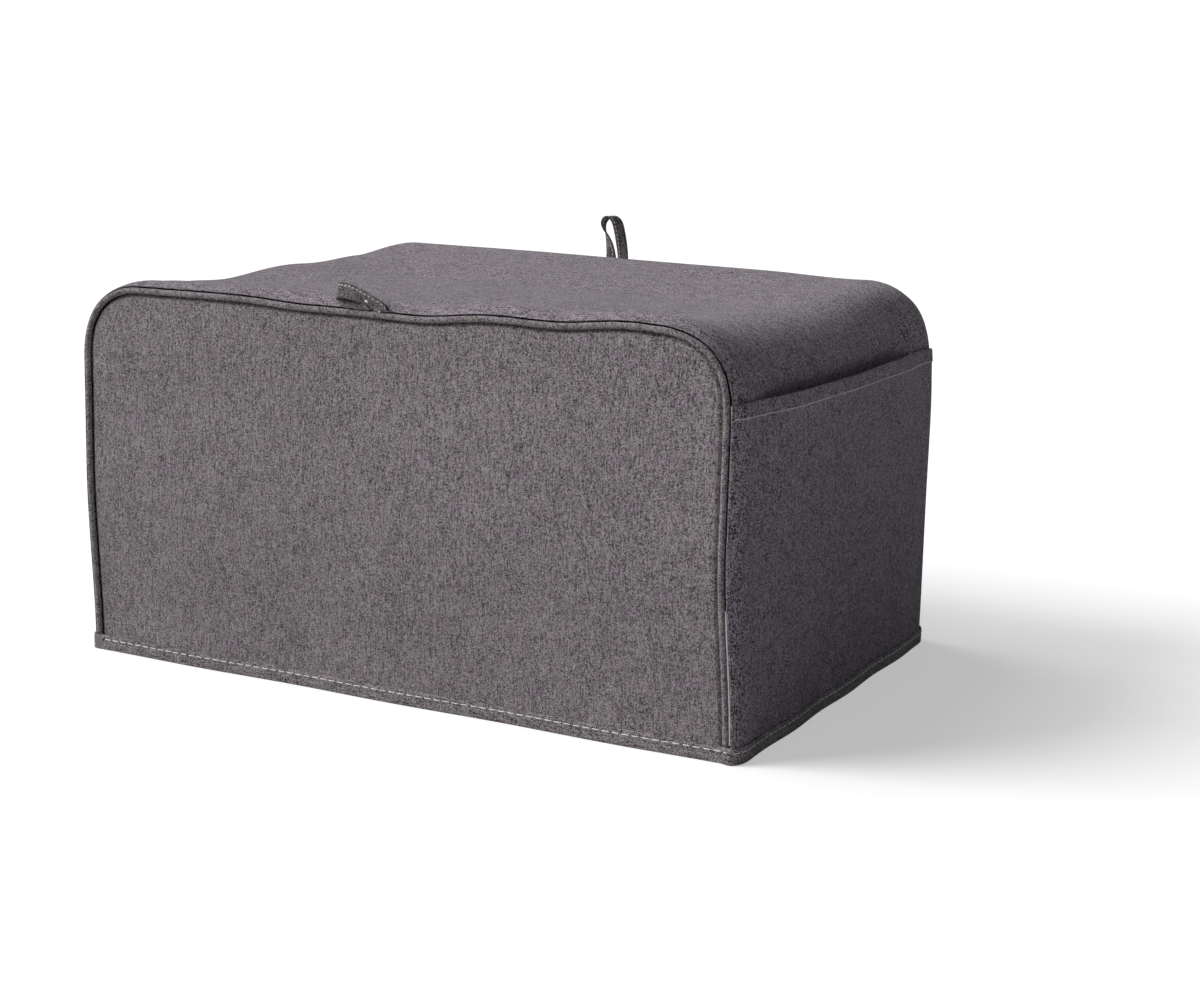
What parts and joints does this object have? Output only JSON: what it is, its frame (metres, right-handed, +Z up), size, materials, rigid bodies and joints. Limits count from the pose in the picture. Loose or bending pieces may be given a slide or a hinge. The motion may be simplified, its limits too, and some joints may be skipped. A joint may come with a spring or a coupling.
{
  "type": "fitted toaster oven cover",
  "caption": "Hollow box-shaped cloth cover, open below, with piped end panels, a bound hem, a side pocket and tape loops on top.",
  "frame": {"origin": "middle of the cover's footprint, on the surface that the hem meets", "axes": "+X across the front towards the pocket side, +Y from the front panel to the back panel, +Z up"},
  "size_m": [0.4896, 0.3589, 0.2937],
  "materials": {
    "body_cloth": "matt heathered weave",
    "trim_cloth": "matt heathered weave"
  },
  "bodies": {
    "root": {"wrap_panel": "body_cloth", "front_panel": "body_cloth", "back_panel": "body_cloth", "side_pocket": "body_cloth", "front_piping": "trim_cloth", "back_piping": "trim_cloth", "hem_binding": "trim_cloth", "front_loop": "trim_cloth", "back_loop": "trim_cloth"}
  },
  "joints": []
}
